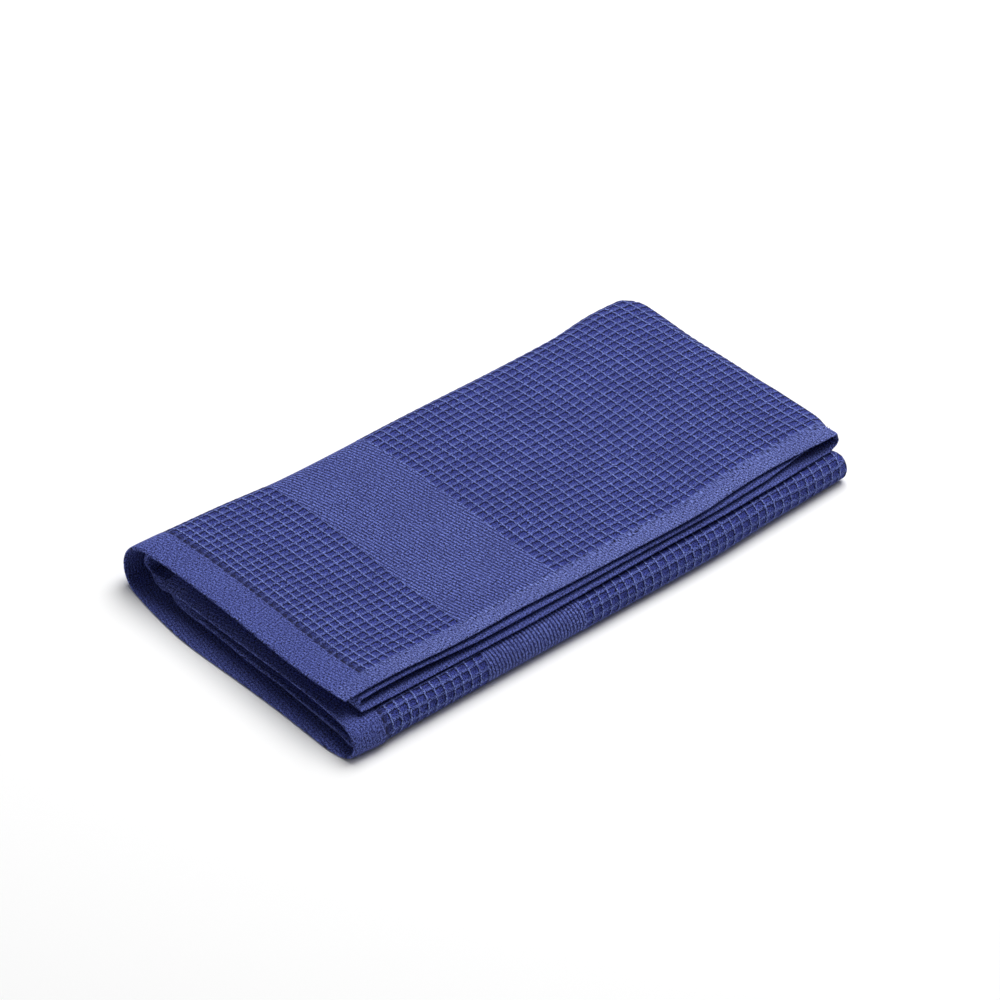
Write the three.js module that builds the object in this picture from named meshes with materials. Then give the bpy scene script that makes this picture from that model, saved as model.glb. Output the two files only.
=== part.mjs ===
// Bath towel of waffle cloth, folded in three along its length and in three across its width.
// Millimetres, +Z up. X runs along the folded bundle, the hemmed end lies at -X.
// The origin is the middle of the bundle on the surface that it lies on.
import * as THREE from 'three';

// The flat cloth and its layers
const clothLength = 1378;
const clothWidth = 714;
const clothThickness = 2.4;
const layerPitch = 4.05; // from one layer to the next, cloth and air
const layersAlong = 3; // thirds of the fold along the length: outer, middle and inner
const panelsAcross = 3; // panels of the fold across the width: top, floor and middle
const outerFoldRadius = layerPitch;
const innerFoldRadius = layerPitch / 2;
const middleOfBundle = { x: -7.4, y: 8.75 };

// Where the ends of the panels lie, by the distance across the cloth from the selvedge on top.
// hemEnd is the free end hem, innerFold the fold tucked in beside it, outerFold the right end.
const endsAcross = [
  { across: 0, hemEnd: -233.3, innerFold: -225, outerFold: 237.8 },
  { across: 12, hemEnd: -234.3, innerFold: -224.5, outerFold: 237.2 },
  { across: 30, hemEnd: -236, innerFold: -224, outerFold: 238.4 },
  { across: 60, hemEnd: -236.6, innerFold: -224, outerFold: 238 },
  { across: 85, hemEnd: -236.3, innerFold: -224.3, outerFold: 236.7 },
  { across: 120, hemEnd: -235.8, innerFold: -225, outerFold: 236.3 },
  { across: 160, hemEnd: -236.2, innerFold: -226.5, outerFold: 236 },
  { across: 205, hemEnd: -239.4, innerFold: -228.5, outerFold: 235.3 },
  { across: 222, hemEnd: -241.6, innerFold: -230.2, outerFold: 231.5 },
  { across: 240, hemEnd: -244.6, innerFold: -233, outerFold: 227.5 },
  { across: 254, hemEnd: -247, innerFold: -233.2, outerFold: 227.7 },
  { across: 268, hemEnd: -249.3, innerFold: -234.2, outerFold: 228 },
  { across: 286, hemEnd: -251.8, innerFold: -236.3, outerFold: 228.5 },
  { across: 325, hemEnd: -254.6, innerFold: -237, outerFold: 229 },
  { across: 390, hemEnd: -251.2, innerFold: -237.7, outerFold: 231 },
  { across: 430, hemEnd: -249.5, innerFold: -238, outerFold: 232 },
  { across: 470, hemEnd: -249, innerFold: -238.2, outerFold: 232 },
  { across: 500, hemEnd: -243, innerFold: -236, outerFold: 232 },
  { across: 530, hemEnd: -238.8, innerFold: -229, outerFold: 228 },
  { across: 560, hemEnd: -237.6, innerFold: -228.3, outerFold: 227 },
  { across: 610, hemEnd: -237.9, innerFold: -228, outerFold: 226.5 },
  { across: 670, hemEnd: -238.8, innerFold: -228, outerFold: 226 },
  { across: 700, hemEnd: -239.2, innerFold: -228, outerFold: 226 },
  { across: 714, hemEnd: -239, innerFold: -228, outerFold: 226 },
];

// The shape of the bundle's section by its place along X. top is the height of the top face,
// back and front are the outer faces of the two long rolls, lean is how far the front roll's
// foot stands out past its top.
const sectionAlong = [
  { x: -253, top: 37.5, back: 142.8, front: -118.5, lean: 2 },
  { x: -243, top: 37.3, back: 142.7, front: -118.5, lean: 2.5 },
  { x: -230, top: 37, back: 142.5, front: -118.5, lean: 4 },
  { x: -217, top: 36.7, back: 141.6, front: -118.5, lean: 5.3 },
  { x: -211, top: 36.5, back: 141, front: -118.5, lean: 3.7 },
  { x: -200, top: 36.3, back: 140.2, front: -118.5, lean: 3.4 },
  { x: -165, top: 35.6, back: 138.3, front: -118.5, lean: 4.2 },
  { x: -105, top: 35.1, back: 133.8, front: -119.3, lean: 4.3 },
  { x: 0, top: 35, back: 132.2, front: -121, lean: 4.7 },
  { x: 95, top: 35, back: 130.8, front: -123, lean: 3.8 },
  { x: 150, top: 35, back: 130.9, front: -122, lean: 2.3 },
  { x: 200, top: 35, back: 134.7, front: -120.3, lean: 2.9 },
  { x: 237, top: 35, back: 132.6, front: -119.5, lean: 2.8 },
];

// The three free edges on top, by their place along X. selvedge is where the outer one lies,
// middleOut and innerOut are how far the two below stand out past it, and outerRise and
// innerRise are how far they rise or sag beside the edge.
const frontEdges = [
  { x: -232, selvedge: -97.8, middleOut: 3, innerOut: 7.5, outerRise: 0.8, innerRise: -0.6 },
  { x: -205, selvedge: -97.5, middleOut: 2.3, innerOut: 7.9, outerRise: 1.8, innerRise: -1.1 },
  { x: -180, selvedge: -97.8, middleOut: 1.9, innerOut: 8.1, outerRise: 1.9, innerRise: -1.2 },
  { x: -150, selvedge: -99.7, middleOut: 2.2, innerOut: 7.1, outerRise: 1.3, innerRise: -1 },
  { x: -115, selvedge: -100.8, middleOut: 4, innerOut: 7.9, outerRise: 0.6, innerRise: -0.4 },
  { x: -75, selvedge: -100.9, middleOut: 4.8, innerOut: 9.5, outerRise: 0.4, innerRise: 0 },
  { x: -30, selvedge: -102.7, middleOut: 3.6, innerOut: 7.6, outerRise: 0, innerRise: 0 },
  { x: 15, selvedge: -103.7, middleOut: 2.7, innerOut: 6.4, outerRise: 0, innerRise: 0 },
  { x: 60, selvedge: -105.6, middleOut: 1.7, innerOut: 4.9, outerRise: 0, innerRise: 0 },
  { x: 95, selvedge: -106.4, middleOut: 1.8, innerOut: 5.2, outerRise: 0, innerRise: 0 },
  { x: 130, selvedge: -103.8, middleOut: 4, innerOut: 8, outerRise: 0, innerRise: 0 },
  { x: 160, selvedge: -102.2, middleOut: 4.2, innerOut: 9, outerRise: 0, innerRise: 0 },
  { x: 185, selvedge: -102.9, middleOut: 0.7, innerOut: 7.2, outerRise: 0.6, innerRise: -0.8 },
  { x: 205, selvedge: -103.8, middleOut: -3, innerOut: 4.6, outerRise: 1, innerRise: -1.2 },
  { x: 220, selvedge: -105.3, middleOut: -6, innerOut: 2.8, outerRise: 1.4, innerRise: -1.2 },
  { x: 237, selvedge: -105.6, middleOut: -9, innerOut: 2.2, outerRise: 1.2, innerRise: -1.2 },
];

// Loose places
const innerSelvedge = { y: 102, stagger: 3.5 }; // the selvedges tucked inside the back roll
const rollHollow = { depth: 5, from: -200, to: -236 }; // air in the back roll at the hemmed end
const hemDroop = { drop: 4, from: -227.5, to: -240, frontY: -80, backY: 60 };
const cornerTuck = { depth: 7, width: 25, from: 60 }; // the fold runs back under its own corner
const leanStretch = { from: -70, to: -110 };
const edgeStretch = { from: -82, to: -40 }; // the free edges part in front of here
const wave = { size: 0.016, alongX: 205, alongY: 150, startX: 0.9, startY: 0.4 };

// Steps of the mesh along and across the cloth
const hemDepth = 13; // the stretch beside the end hem, with closer steps
const lengthSteps = { hem: 2, outer: 17, outerFold: 6, inner: 11, innerFold: 5, middle: 11 };
const widthSteps = { top: 8, backRoll: 10, floor: 8, frontRoll: 8, middle: 7 };

function smoothStep(from, to, value) {
  const t = Math.min(Math.max((value - from) / (to - from), 0), 1);
  return t * t * (3 - 2 * t);
}

// Smooth curve through one column of a table, level wherever the column turns back.
function readTable(rows, key, column, at) {
  const place = Math.min(Math.max(at, rows[0][key]), rows[rows.length - 1][key]);
  const slope = (i) =>
    (rows[i + 1][column] - rows[i][column]) / (rows[i + 1][key] - rows[i][key]);
  const tangent = (i) => {
    if (i === 0) return slope(0);
    if (i === rows.length - 1) return slope(i - 1);
    const before = slope(i - 1);
    const after = slope(i);
    return before * after <= 0 ? 0 : (2 * before * after) / (before + after);
  };
  let i = 0;
  while (i < rows.length - 2 && place > rows[i + 1][key]) i += 1;
  const span = rows[i + 1][key] - rows[i][key];
  const t = (place - rows[i][key]) / span;
  const t2 = t * t;
  const t3 = t2 * t;
  return (
    rows[i][column] * (2 * t3 - 3 * t2 + 1) +
    span * tangent(i) * (t3 - 2 * t2 + t) +
    rows[i + 1][column] * (3 * t2 - 2 * t3) +
    span * tangent(i + 1) * (t3 - t2)
  );
}

function fractions(steps) {
  return Array.from({ length: steps }, (_, i) => i / steps);
}

// Fold along the length. depth counts layers inward: 0 outer, 1 middle, 2 inner third.
// middleShare is 1 on the middle third, which has its own free edge on top.
function foldAlongLength(across) {
  const hemEnd = readTable(endsAcross, 'across', 'hemEnd', across);
  const innerFold = readTable(endsAcross, 'across', 'innerFold', across);
  const outerFold = readTable(endsAcross, 'across', 'outerFold', across);
  const outerCentre = outerFold - outerFoldRadius;
  const innerCentre = innerFold + innerFoldRadius;
  const outerLength = outerCentre - hemEnd;
  const innerLength = outerCentre - innerCentre;
  const turned = Math.PI * (outerFoldRadius + innerFoldRadius);
  const middleLength = clothLength - outerLength - innerLength - turned;
  const stations = [];
  const atCorner = 1 - smoothStep(0, cornerTuck.width, across);
  const addOuter = (x, depth) => {
    const nearFold = smoothStep(outerCentre - cornerTuck.from, outerCentre, x);
    const tuck = (cornerTuck.depth * atCorner * nearFold * depth) / 2;
    stations.push({ x: x - tuck, depth, middleShare: 0 });
  };
  for (const t of fractions(lengthSteps.hem)) {
    addOuter(hemEnd + t * hemDepth, 0);
  }
  for (const t of fractions(lengthSteps.outer)) {
    addOuter(hemEnd + hemDepth + t * (outerLength - hemDepth), 0);
  }
  for (const t of fractions(lengthSteps.outerFold)) {
    const turn = t * Math.PI;
    addOuter(outerCentre + outerFoldRadius * Math.sin(turn), 1 - Math.cos(turn));
  }
  for (const t of fractions(lengthSteps.inner)) {
    addOuter(outerCentre - t * innerLength, 2);
  }
  for (const t of fractions(lengthSteps.innerFold)) {
    const turn = t * Math.PI;
    stations.push({
      x: innerCentre - innerFoldRadius * Math.sin(turn),
      depth: 1.5 + 0.5 * Math.cos(turn),
      middleShare: 0.5 - 0.5 * Math.cos(turn),
    });
  }
  for (const t of [...fractions(lengthSteps.middle), 1]) {
    stations.push({ x: innerCentre + t * middleLength, depth: 1, middleShare: 1 });
  }
  return stations;
}

function innerShare(depth, middleShare) {
  return ((1 - middleShare) * depth) / (layersAlong - 1);
}

// Fold across the width: sizes of the section that a layer follows at a place along X.
function sectionAt({ x, depth, middleShare }) {
  const half = clothThickness / 2;
  const inward = half + depth * layerPitch;
  const hollow = rollHollow.depth * smoothStep(rollHollow.from, rollHollow.to, x);
  const middleTop = (layersAlong * (panelsAcross - 1) - 1) * layerPitch + clothThickness;
  const topZ = readTable(sectionAlong, 'x', 'top', x) - inward;
  const floorZ = inward;
  const middleZ = middleTop - inward;
  const backRadius = (topZ - floorZ) / 2;
  const frontRadius = (middleZ - floorZ) / 2;
  const backEdge = readTable(sectionAlong, 'x', 'back', x) - inward - hollow * smoothStep(0, 1, depth);
  const frontEdge = readTable(sectionAlong, 'x', 'front', x) + inward;
  const middleOut = readTable(frontEdges, 'x', 'middleOut', x) * middleShare;
  const innerOut = readTable(frontEdges, 'x', 'innerOut', x) * innerShare(depth, middleShare);
  return {
    topZ,
    floorZ,
    middleZ,
    backRadius,
    frontRadius,
    backY: backEdge - backRadius,
    frontY: frontEdge + frontRadius,
    selvedgeY: readTable(frontEdges, 'x', 'selvedge', x) - middleOut - innerOut,
    tuckedY: innerSelvedge.y + innerSelvedge.stagger * depth,
  };
}

// How far the hem inside the front roll hangs down at the end of the outer third.
function droopOfHem(x, y, depth) {
  const free = (1 - smoothStep(0, 1, depth)) * smoothStep(hemDroop.from, hemDroop.to, x);
  return hemDroop.drop * free * smoothStep(hemDroop.frontY, hemDroop.backY, y);
}

function riseOfEdge({ x, depth, middleShare }, y) {
  const outer = readTable(frontEdges, 'x', 'outerRise', x);
  const inner = readTable(frontEdges, 'x', 'innerRise', x);
  const atEdge = 1 - smoothStep(edgeStretch.from, edgeStretch.to, y);
  return atEdge * (outer + (inner - outer) * innerShare(depth, middleShare));
}

function leanOfFoot(x, y, z) {
  const middleTop = (layersAlong * (panelsAcross - 1) - 1) * layerPitch + clothThickness;
  const low = Math.min(Math.max(1 - z / middleTop, 0), 1);
  const lean = readTable(sectionAlong, 'x', 'lean', x);
  return lean * low * smoothStep(leanStretch.from, leanStretch.to, y);
}

// The five stretches of the section, each read by its own share t from 0 to 1.
const stretches = [
  {
    steps: widthSteps.top,
    length: (s) => s.backY - s.selvedgeY,
    point: (s, t) => [s.selvedgeY + t * (s.backY - s.selvedgeY), s.topZ],
  },
  {
    steps: widthSteps.backRoll,
    length: (s) => Math.PI * s.backRadius,
    point: (s, t) => [
      s.backY + s.backRadius * Math.sin(t * Math.PI),
      (s.topZ + s.floorZ) / 2 + s.backRadius * Math.cos(t * Math.PI),
    ],
  },
  {
    steps: widthSteps.floor,
    length: (s) => s.backY - s.frontY,
    point: (s, t) => [s.backY - t * (s.backY - s.frontY), s.floorZ],
  },
  {
    steps: widthSteps.frontRoll,
    length: (s) => Math.PI * s.frontRadius,
    point: (s, t) => [
      s.frontY - s.frontRadius * Math.sin(t * Math.PI),
      (s.middleZ + s.floorZ) / 2 - s.frontRadius * Math.cos(t * Math.PI),
    ],
  },
  {
    steps: widthSteps.middle,
    length: (s) => s.tuckedY - s.frontY,
    point: (s, t) => [s.frontY + t * (s.tuckedY - s.frontY), s.middleZ],
  },
];

// Each step across the cloth: its stretch, its share of it, and its distance from the selvedge.
function stepsAcross() {
  const outer = sectionAt({ x: 0, depth: 0, middleShare: 0 });
  const total = stretches.reduce((sum, stretch) => sum + stretch.length(outer), 0);
  const scale = clothWidth / total;
  const steps = [];
  let passed = 0;
  stretches.forEach((stretch, index) => {
    const last = index === stretches.length - 1;
    for (const t of last ? [...fractions(stretch.steps), 1] : fractions(stretch.steps)) {
      steps.push({ stretch, t, across: (passed + t * stretch.length(outer)) * scale });
    }
    passed += stretch.length(outer);
  });
  return steps;
}

function middleSurface() {
  const columns = stepsAcross().map((step) =>
    foldAlongLength(step.across).map((station) => {
      const { x, depth } = station;
      const [y, z] = step.stretch.point(sectionAt(station), step.t);
      if (step.stretch === stretches[0]) return new THREE.Vector3(x, y, z + riseOfEdge(station, y));
      if (step.stretch === stretches[1]) return new THREE.Vector3(x, y, z);
      const foot = leanOfFoot(x, y, z);
      const inside = step.stretch === stretches[stretches.length - 1];
      const drop = inside ? droopOfHem(x, y, depth) : 0;
      return new THREE.Vector3(x, y - foot, z - drop);
    })
  );
  return columns[0].map((_, i) => columns.map((column) => column[i]));
}

// Soft unevenness of the stack's height. The face on the floor stays flat.
function settle(point) {
  const alongX = Math.sin((2 * Math.PI * point.x) / wave.alongX + wave.startX);
  const alongY = Math.cos((2 * Math.PI * point.y) / wave.alongY + wave.startY);
  const z = point.z * (1 + wave.size * alongX * alongY);
  return new THREE.Vector3(point.x - middleOfBundle.x, point.y - middleOfBundle.y, z);
}

// A closed sheet of even thickness around a grid of points on its middle surface.
function sheetGeometry(grid) {
  const rows = grid.length;
  const columns = grid[0].length;
  const positions = [];
  const indices = [];
  const at = (i, j) => grid[Math.min(Math.max(i, 0), rows - 1)][Math.min(Math.max(j, 0), columns - 1)];
  for (const side of [0.5, -0.5]) {
    for (let i = 0; i < rows; i += 1) {
      for (let j = 0; j < columns; j += 1) {
        const along = at(i + 1, j).clone().sub(at(i - 1, j));
        const across = at(i, j + 1).clone().sub(at(i, j - 1));
        const normal = along.cross(across).normalize();
        const point = settle(at(i, j).clone().addScaledVector(normal, side * clothThickness));
        positions.push(point.x, point.y, Math.max(point.z, 0));
      }
    }
  }
  const under = rows * columns;
  const id = (i, j) => i * columns + j;
  const quad = (a, b, c, d) => indices.push(a, b, c, a, c, d);
  for (let i = 0; i < rows - 1; i += 1) {
    for (let j = 0; j < columns - 1; j += 1) {
      quad(id(i, j), id(i + 1, j), id(i + 1, j + 1), id(i, j + 1));
      quad(under + id(i, j), under + id(i, j + 1), under + id(i + 1, j + 1), under + id(i + 1, j));
    }
  }
  for (let i = 0; i < rows - 1; i += 1) {
    quad(id(i, 0), under + id(i, 0), under + id(i + 1, 0), id(i + 1, 0));
    const j = columns - 1;
    quad(id(i + 1, j), under + id(i + 1, j), under + id(i, j), id(i, j));
  }
  for (let j = 0; j < columns - 1; j += 1) {
    quad(id(0, j + 1), under + id(0, j + 1), under + id(0, j), id(0, j));
    const i = rows - 1;
    quad(id(i, j), under + id(i, j), under + id(i, j + 1), id(i, j + 1));
  }
  const geometry = new THREE.BufferGeometry();
  geometry.setAttribute('position', new THREE.Float32BufferAttribute(positions, 3));
  geometry.setIndex(indices);
  geometry.computeVertexNormals();
  return geometry;
}

function buildTowel() {
  const waffleCotton = new THREE.MeshStandardMaterial({
    name: 'waffleCotton',
    color: 0x414b90,
    roughness: 0.92,
    metalness: 0,
  });
  const towel = new THREE.Mesh(sheetGeometry(middleSurface()), waffleCotton);
  towel.name = 'towel';
  return towel;
}

const part = new THREE.Group();
part.add(buildTowel());

export default part;
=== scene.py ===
# Folded bath towel: one cloth of waffle-weave cotton with a flat band and turned hems.
# The tables are in millimetres, on the folded bundle or on the flat cloth; the scene is in metres.
import math

import bpy
import numpy as np
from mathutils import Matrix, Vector


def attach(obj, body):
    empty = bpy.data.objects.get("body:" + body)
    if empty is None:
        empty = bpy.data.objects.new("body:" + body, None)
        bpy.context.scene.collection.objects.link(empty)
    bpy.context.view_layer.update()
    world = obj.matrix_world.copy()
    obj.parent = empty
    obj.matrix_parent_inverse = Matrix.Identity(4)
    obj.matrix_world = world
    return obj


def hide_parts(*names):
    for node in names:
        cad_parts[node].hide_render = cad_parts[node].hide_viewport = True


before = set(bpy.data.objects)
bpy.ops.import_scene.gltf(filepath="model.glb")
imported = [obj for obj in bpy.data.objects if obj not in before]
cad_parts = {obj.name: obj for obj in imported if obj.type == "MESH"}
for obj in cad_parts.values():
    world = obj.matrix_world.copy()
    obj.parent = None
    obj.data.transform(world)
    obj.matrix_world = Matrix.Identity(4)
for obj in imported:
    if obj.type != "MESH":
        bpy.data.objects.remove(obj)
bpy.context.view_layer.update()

mm = 0.001
print("frame loaded")


def linearColour(hexText):
    channels = [int(hexText[i:i + 2], 16) / 255 for i in (1, 3, 5)]
    return [c / 12.92 if c <= 0.04045 else ((c + 0.055) / 1.055) ** 2.4 for c in channels] + [1.0]


# Camera: a long lens, well back, over the hemmed front corner
cameraSet = {
    "lens": 162.0,
    "sensor": 36.0,
    "place": (-1.6627, -1.9294, 2.1149),
    "forward": (0.5066, 0.5849, -0.6334),
}


def addCamera():
    bpy.ops.object.camera_add(location=cameraSet["place"])
    camera = bpy.context.object
    camera.name = "camera"
    camera.rotation_euler = Vector(cameraSet["forward"]).to_track_quat("-Z", "Y").to_euler()
    camera.data.lens = cameraSet["lens"]
    camera.data.sensor_width = cameraSet["sensor"]
    camera.data.clip_end = 50
    bpy.context.scene.camera = camera


addCamera()
print("camera placed")

# The flat cloth and how its layers lie
cloth = {
    "length": 1378.0,
    "width": 714.0,
    "pitch": 4.05,          # from one layer to the next
    "halfWaffle": 1.2,      # middle of the cloth to its ridges
    "halfBand": 0.95,       # middle of the cloth to the flat weave
    "halfHem": 1.1,         # the end hems, turned double and pressed flat
    "halfSideHem": 0.85,    # the selvedge hems are thinner
    "edgeRound": 2.6,       # how wide the rounding of the cloth's edges is
    "edgeBlunt": 0.08,      # keeps the rim from closing to a knife's edge
    "endHem": 27.5,         # from the cloth's edge to the inner edge of a hem
    "sideHem": 12.0,
    "sideHemSlope": (11.4, 12.3),    # where a selvedge hem drops to the single cloth
    "sideStrip": 1.5,       # flat strip beside a selvedge hem
    "endSeam": 24.6,        # from the cloth's edge to a hem's stitch line
    "sideSeam": 10.7,
    "seamDepth": 0.3,       # how far the stitch line draws the hem in
    "seamHalfWidth": 1.1,
    "endSeamShare": 0.5,    # the end hems are drawn in less
    "middleX": -7.4,
    "middleY": 8.75,
}

# Ends of the panels by distance across the cloth from the selvedge on top
endsAcross = {
    "across": [0, 12, 30, 60, 85, 120, 160, 205, 222, 240, 254, 268, 286, 325, 390, 430, 470,
               500, 530, 560, 610, 670, 700, 714],
    "hemEnd": [-233.3, -234.3, -236, -236.6, -236.3, -235.8, -236.2, -239.4, -241.6, -244.6,
               -247, -249.3, -251.8, -254.6, -251.2, -249.5, -249, -243, -238.8, -237.6, -237.9,
               -238.8, -239.2, -239],
    "innerFold": [-225, -224.5, -224, -224, -224.3, -225, -226.5, -228.5, -230.2, -233, -233.2,
                  -234.2, -236.3, -237, -237.7, -238, -238.2, -236, -229, -228.3, -228, -228,
                  -228, -228],
    "outerFold": [237.8, 237.2, 238.4, 238, 236.7, 236.3, 236, 235.3, 231.5, 227.5, 227.7, 228,
                  228.5, 229, 231, 232, 232, 232, 228, 227, 226.5, 226, 226, 226],
}

# The bundle's section by its place along X
sectionAlong = {
    "x": [-253, -243, -230, -217, -211, -200, -165, -105, 0, 95, 150, 200, 237],
    "top": [37.5, 37.3, 37, 36.7, 36.5, 36.3, 35.6, 35.1, 35, 35, 35, 35, 35],
    "back": [142.8, 142.7, 142.5, 141.6, 141, 140.2, 138.3, 133.8, 132.2, 130.8, 130.9, 134.7,
             132.6],
    "front": [-118.5, -118.5, -118.5, -118.5, -118.5, -118.5, -118.5, -119.3, -121, -123, -122,
              -120.3, -119.5],
    "lean": [2, 2.5, 4, 5.3, 3.7, 3.4, 4.2, 4.3, 4.7, 3.8, 2.3, 2.9, 2.8],
}

# The three free edges on top: where the outer one lies, how far the lower two stand out past it,
# and how far each rises or sags
frontEdges = {
    "x": [-232, -205, -180, -150, -115, -75, -30, 15, 60, 95, 130, 160, 185, 205, 220, 237],
    "selvedge": [-97.8, -97.5, -97.8, -99.7, -100.8, -100.9, -102.7, -103.7, -105.6, -106.4,
                 -103.8, -102.2, -102.9, -103.8, -105.3, -105.6],
    "middleOut": [3, 2.3, 1.9, 2.2, 4, 4.8, 3.6, 2.7, 1.7, 1.8, 4, 4.2, 0.7, -3, -6, -9],
    "innerOut": [7.5, 7.9, 8.1, 7.1, 7.9, 9.5, 7.6, 6.4, 4.9, 5.2, 8, 9, 7.2, 4.6, 2.8, 2.2],
    "outerRise": [0.8, 1.8, 1.9, 1.3, 0.6, 0.4, 0, 0, 0, 0, 0, 0, 0.6, 1, 1.4, 1.2],
    "innerRise": [-0.6, -1.1, -1.2, -1, -0.4, 0, 0, 0, 0, 0, 0, 0, -0.8, -1.2, -1.2, -1.2],
}

# Loose places of the fold
loose = {
    "innerSelvedge": 102.0,  # where the tucked selvedges lie inside the back roll
    "innerStagger": 3.5,
    "hollowDepth": 5.0,      # air in the back roll at the hemmed end
    "hollowFrom": -200.0,
    "hollowTo": -236.0,
    "droop": 4.0,            # the hem inside the front roll hangs
    "droopFrom": -227.5,
    "droopTo": -240.0,
    "droopFrontY": -80.0,
    "droopBackY": 60.0,
    "cornerTuck": 7.0,       # the fold at the right front corner runs back underneath
    "cornerWidth": 25.0,
    "cornerReach": 60.0,
    "leanFrom": -70.0,       # the front roll's foot stands out
    "leanTo": -110.0,
    "partFrom": -82.0,       # the layers part in front of here
    "partTo": -40.0,
    "waveSize": 0.016,       # how much the stack's height rolls, as a share
    "waveAlongX": 205.0,
    "waveAlongY": 150.0,
    "waveStartX": 0.9,
    "waveStartY": 0.4,
}


def smoothStep(low, high, value):
    t = np.clip((np.asarray(value, float) - low) / (high - low), 0, 1)
    return t * t * (3 - 2 * t)


def readTable(table, key, column, at):
    # smooth curve through one column, level wherever the column turns back
    keys = np.array(table[key], float)
    values = np.array(table[column], float)
    spans = np.diff(keys)
    slopes = np.diff(values) / spans
    before, after = slopes[:-1], slopes[1:]
    turns = before * after <= 0
    total = np.where(turns, 1, before + after)
    tangents = np.concatenate([slopes[:1], np.where(turns, 0, 2 * before * after / total), slopes[-1:]])
    place = np.clip(np.asarray(at, float), keys[0], keys[-1])
    i = np.clip(np.searchsorted(keys, place, side="right") - 1, 0, len(keys) - 2)
    t = (place - keys[i]) / spans[i]
    t2, t3 = t * t, t * t * t
    return (values[i] * (2 * t3 - 3 * t2 + 1) + spans[i] * tangents[i] * (t3 - 2 * t2 + t)
            + values[i + 1] * (3 * t2 - 2 * t3) + spans[i] * tangents[i + 1] * (t3 - t2))


def foldAlongLength(along, across):
    # depth counts layers from the outside in: 0 the outer one, 1 the middle one, 2 the inner one
    outerRadius, innerRadius = cloth["pitch"], cloth["pitch"] / 2
    hemEnd = readTable(endsAcross, "across", "hemEnd", across)
    outerCentre = readTable(endsAcross, "across", "outerFold", across) - outerRadius
    innerCentre = readTable(endsAcross, "across", "innerFold", across) + innerRadius
    outerEnd = outerCentre - hemEnd
    turnEnd = outerEnd + math.pi * outerRadius
    innerEnd = turnEnd + outerCentre - innerCentre
    backEnd = innerEnd + math.pi * innerRadius
    outerTurn = np.clip((along - outerEnd) / outerRadius, 0, math.pi)
    innerTurn = np.clip((along - innerEnd) / innerRadius, 0, math.pi)
    stages = [along < outerEnd, along < turnEnd, along < innerEnd, along < backEnd]
    x = np.select(stages, [
        hemEnd + along,
        outerCentre + outerRadius * np.sin(outerTurn),
        outerCentre - (along - turnEnd),
        innerCentre - innerRadius * np.sin(innerTurn),
    ], innerCentre + along - backEnd)
    depth = np.select(stages, [
        np.zeros_like(along),
        1 - np.cos(outerTurn),
        np.full_like(along, 2.0),
        1.5 + 0.5 * np.cos(innerTurn),
    ], 1.0)
    tuck = loose["cornerTuck"] * (1 - smoothStep(0, loose["cornerWidth"], across))
    nearTurn = smoothStep(outerCentre - loose["cornerReach"], outerCentre, x)
    x = x - tuck * nearTurn * depth / 2 * (along < innerEnd)
    # 1 on the last third of the length, which lies in the middle and has its own free edge on top
    middleShare = np.where(along < backEnd, 0.5 - 0.5 * np.cos(innerTurn), 1.0)
    return x, depth, middleShare


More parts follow.
